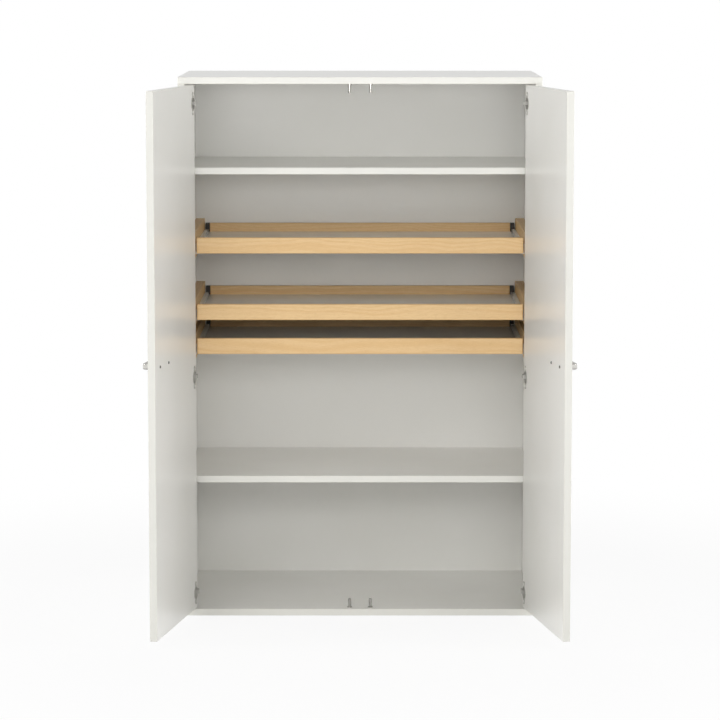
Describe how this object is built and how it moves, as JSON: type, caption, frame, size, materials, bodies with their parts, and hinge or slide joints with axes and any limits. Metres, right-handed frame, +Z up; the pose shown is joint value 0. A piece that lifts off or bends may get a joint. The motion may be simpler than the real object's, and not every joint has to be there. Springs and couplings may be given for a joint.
{
  "type": "two-door shelf cabinet",
  "caption": "Tall white cabinet with inset doors open, adjustable shelves and pull-out trays with wooden rails.",
  "frame": {"origin": "centre of the rectangle that the carcase covers on the floor, doors not counted", "axes": "+Z up, -Y out of the front towards the open doors, +X to the right of someone who faces the front"},
  "size_m": [1.1496, 1.0453, 1.5],
  "materials": {
    "lacquer": "semi-gloss white lacquer on board",
    "timber": "clear satin lacquer on alder or beech",
    "tray_board": "matt warm grey facing on board",
    "zinc": "bright zinc plating",
    "nickel": "polished nickel plating",
    "cap_plastic": "dark brown-black plastic"
  },
  "bodies": {
    "carcase": {"left_side": "lacquer", "right_side": "lacquer", "top_panel": "lacquer", "bottom_panel": "lacquer", "back_panel": "lacquer", "panel_dowels": "timber", "lower_shelf": "lacquer", "upper_shelf": "lacquer", "shelf_pins": "nickel", "door_stops": "nickel", "left_hinge_arms": "nickel", "left_hinge_pins": "zinc", "left_hinge_plates": "nickel", "left_plate_screws": "zinc", "right_hinge_arms": "nickel", "right_hinge_pins": "zinc", "right_hinge_plates": "nickel", "right_plate_screws": "zinc", "lower_spacers": "timber", "lower_slide_rails": "zinc", "middle_spacers": "timber", "middle_slide_rails": "zinc", "upper_spacers": "timber", "upper_slide_rails": "zinc", "spacer_screws": "zinc", "rail_screws": "zinc"},
    "left_door": {"left_door": "lacquer", "left_handle": "nickel", "left_handle_screws": "nickel", "left_hinge_cups": "nickel", "left_cup_screws": "zinc"},
    "right_door": {"right_door": "lacquer", "right_handle": "nickel", "right_handle_screws": "nickel", "right_hinge_cups": "nickel", "right_cup_screws": "zinc"},
    "lower_tray": {"lower_tray_runners": "zinc", "lower_tray_front": "timber", "lower_tray_board": "tray_board", "lower_tray_back": "timber", "lower_tray_caps": "cap_plastic", "lower_tray_screws": "zinc"},
    "lower_slides": {"lower_slide_middles": "zinc"},
    "middle_tray": {"middle_tray_runners": "zinc", "middle_tray_front": "timber", "middle_tray_board": "tray_board", "middle_tray_back": "timber", "middle_tray_caps": "cap_plastic", "middle_tray_screws": "zinc"},
    "middle_slides": {"middle_slide_middles": "zinc"},
    "upper_tray": {"upper_tray_runners": "zinc", "upper_tray_front": "timber", "upper_tray_board": "tray_board", "upper_tray_back": "timber", "upper_tray_caps": "cap_plastic", "upper_tray_screws": "zinc"},
    "upper_slides": {"upper_slide_middles": "zinc"}
  },
  "joints": [
    {"name": "left_door_hinge", "type": "hinge", "parent": "carcase", "child": "left_door", "pos_m": [-0.469, -0.28785, 0.75], "axis": [0, 0, -1], "range_deg": [-100, 0]},
    {"name": "right_door_hinge", "type": "hinge", "parent": "carcase", "child": "right_door", "pos_m": [0.469, -0.28785, 0.75], "axis": [0, 0, 1], "range_deg": [-100, 0]},
    {"name": "lower_tray_slide", "type": "slide", "parent": "carcase", "child": "lower_tray", "axis": [0, -1, 0], "range_m": [0, 0.45]},
    {"name": "lower_middle_slide", "type": "slide", "parent": "carcase", "child": "lower_slides", "axis": [0, -1, 0], "range_m": [0, 0.225]},
    {"name": "middle_tray_slide", "type": "slide", "parent": "carcase", "child": "middle_tray", "axis": [0, -1, 0], "range_m": [0, 0.45]},
    {"name": "middle_middle_slide", "type": "slide", "parent": "carcase", "child": "middle_slides", "axis": [0, -1, 0], "range_m": [0, 0.225]},
    {"name": "upper_tray_slide", "type": "slide", "parent": "carcase", "child": "upper_tray", "axis": [0, -1, 0], "range_m": [0, 0.45]},
    {"name": "upper_middle_slide", "type": "slide", "parent": "carcase", "child": "upper_slides", "axis": [0, -1, 0], "range_m": [0, 0.225]}
  ],
  "couplings": [
    {"joint": "lower_middle_slide", "follows": "lower_tray_slide", "ratio": 0.5},
    {"joint": "middle_middle_slide", "follows": "middle_tray_slide", "ratio": 0.5},
    {"joint": "upper_middle_slide", "follows": "upper_tray_slide", "ratio": 0.5}
  ]
}
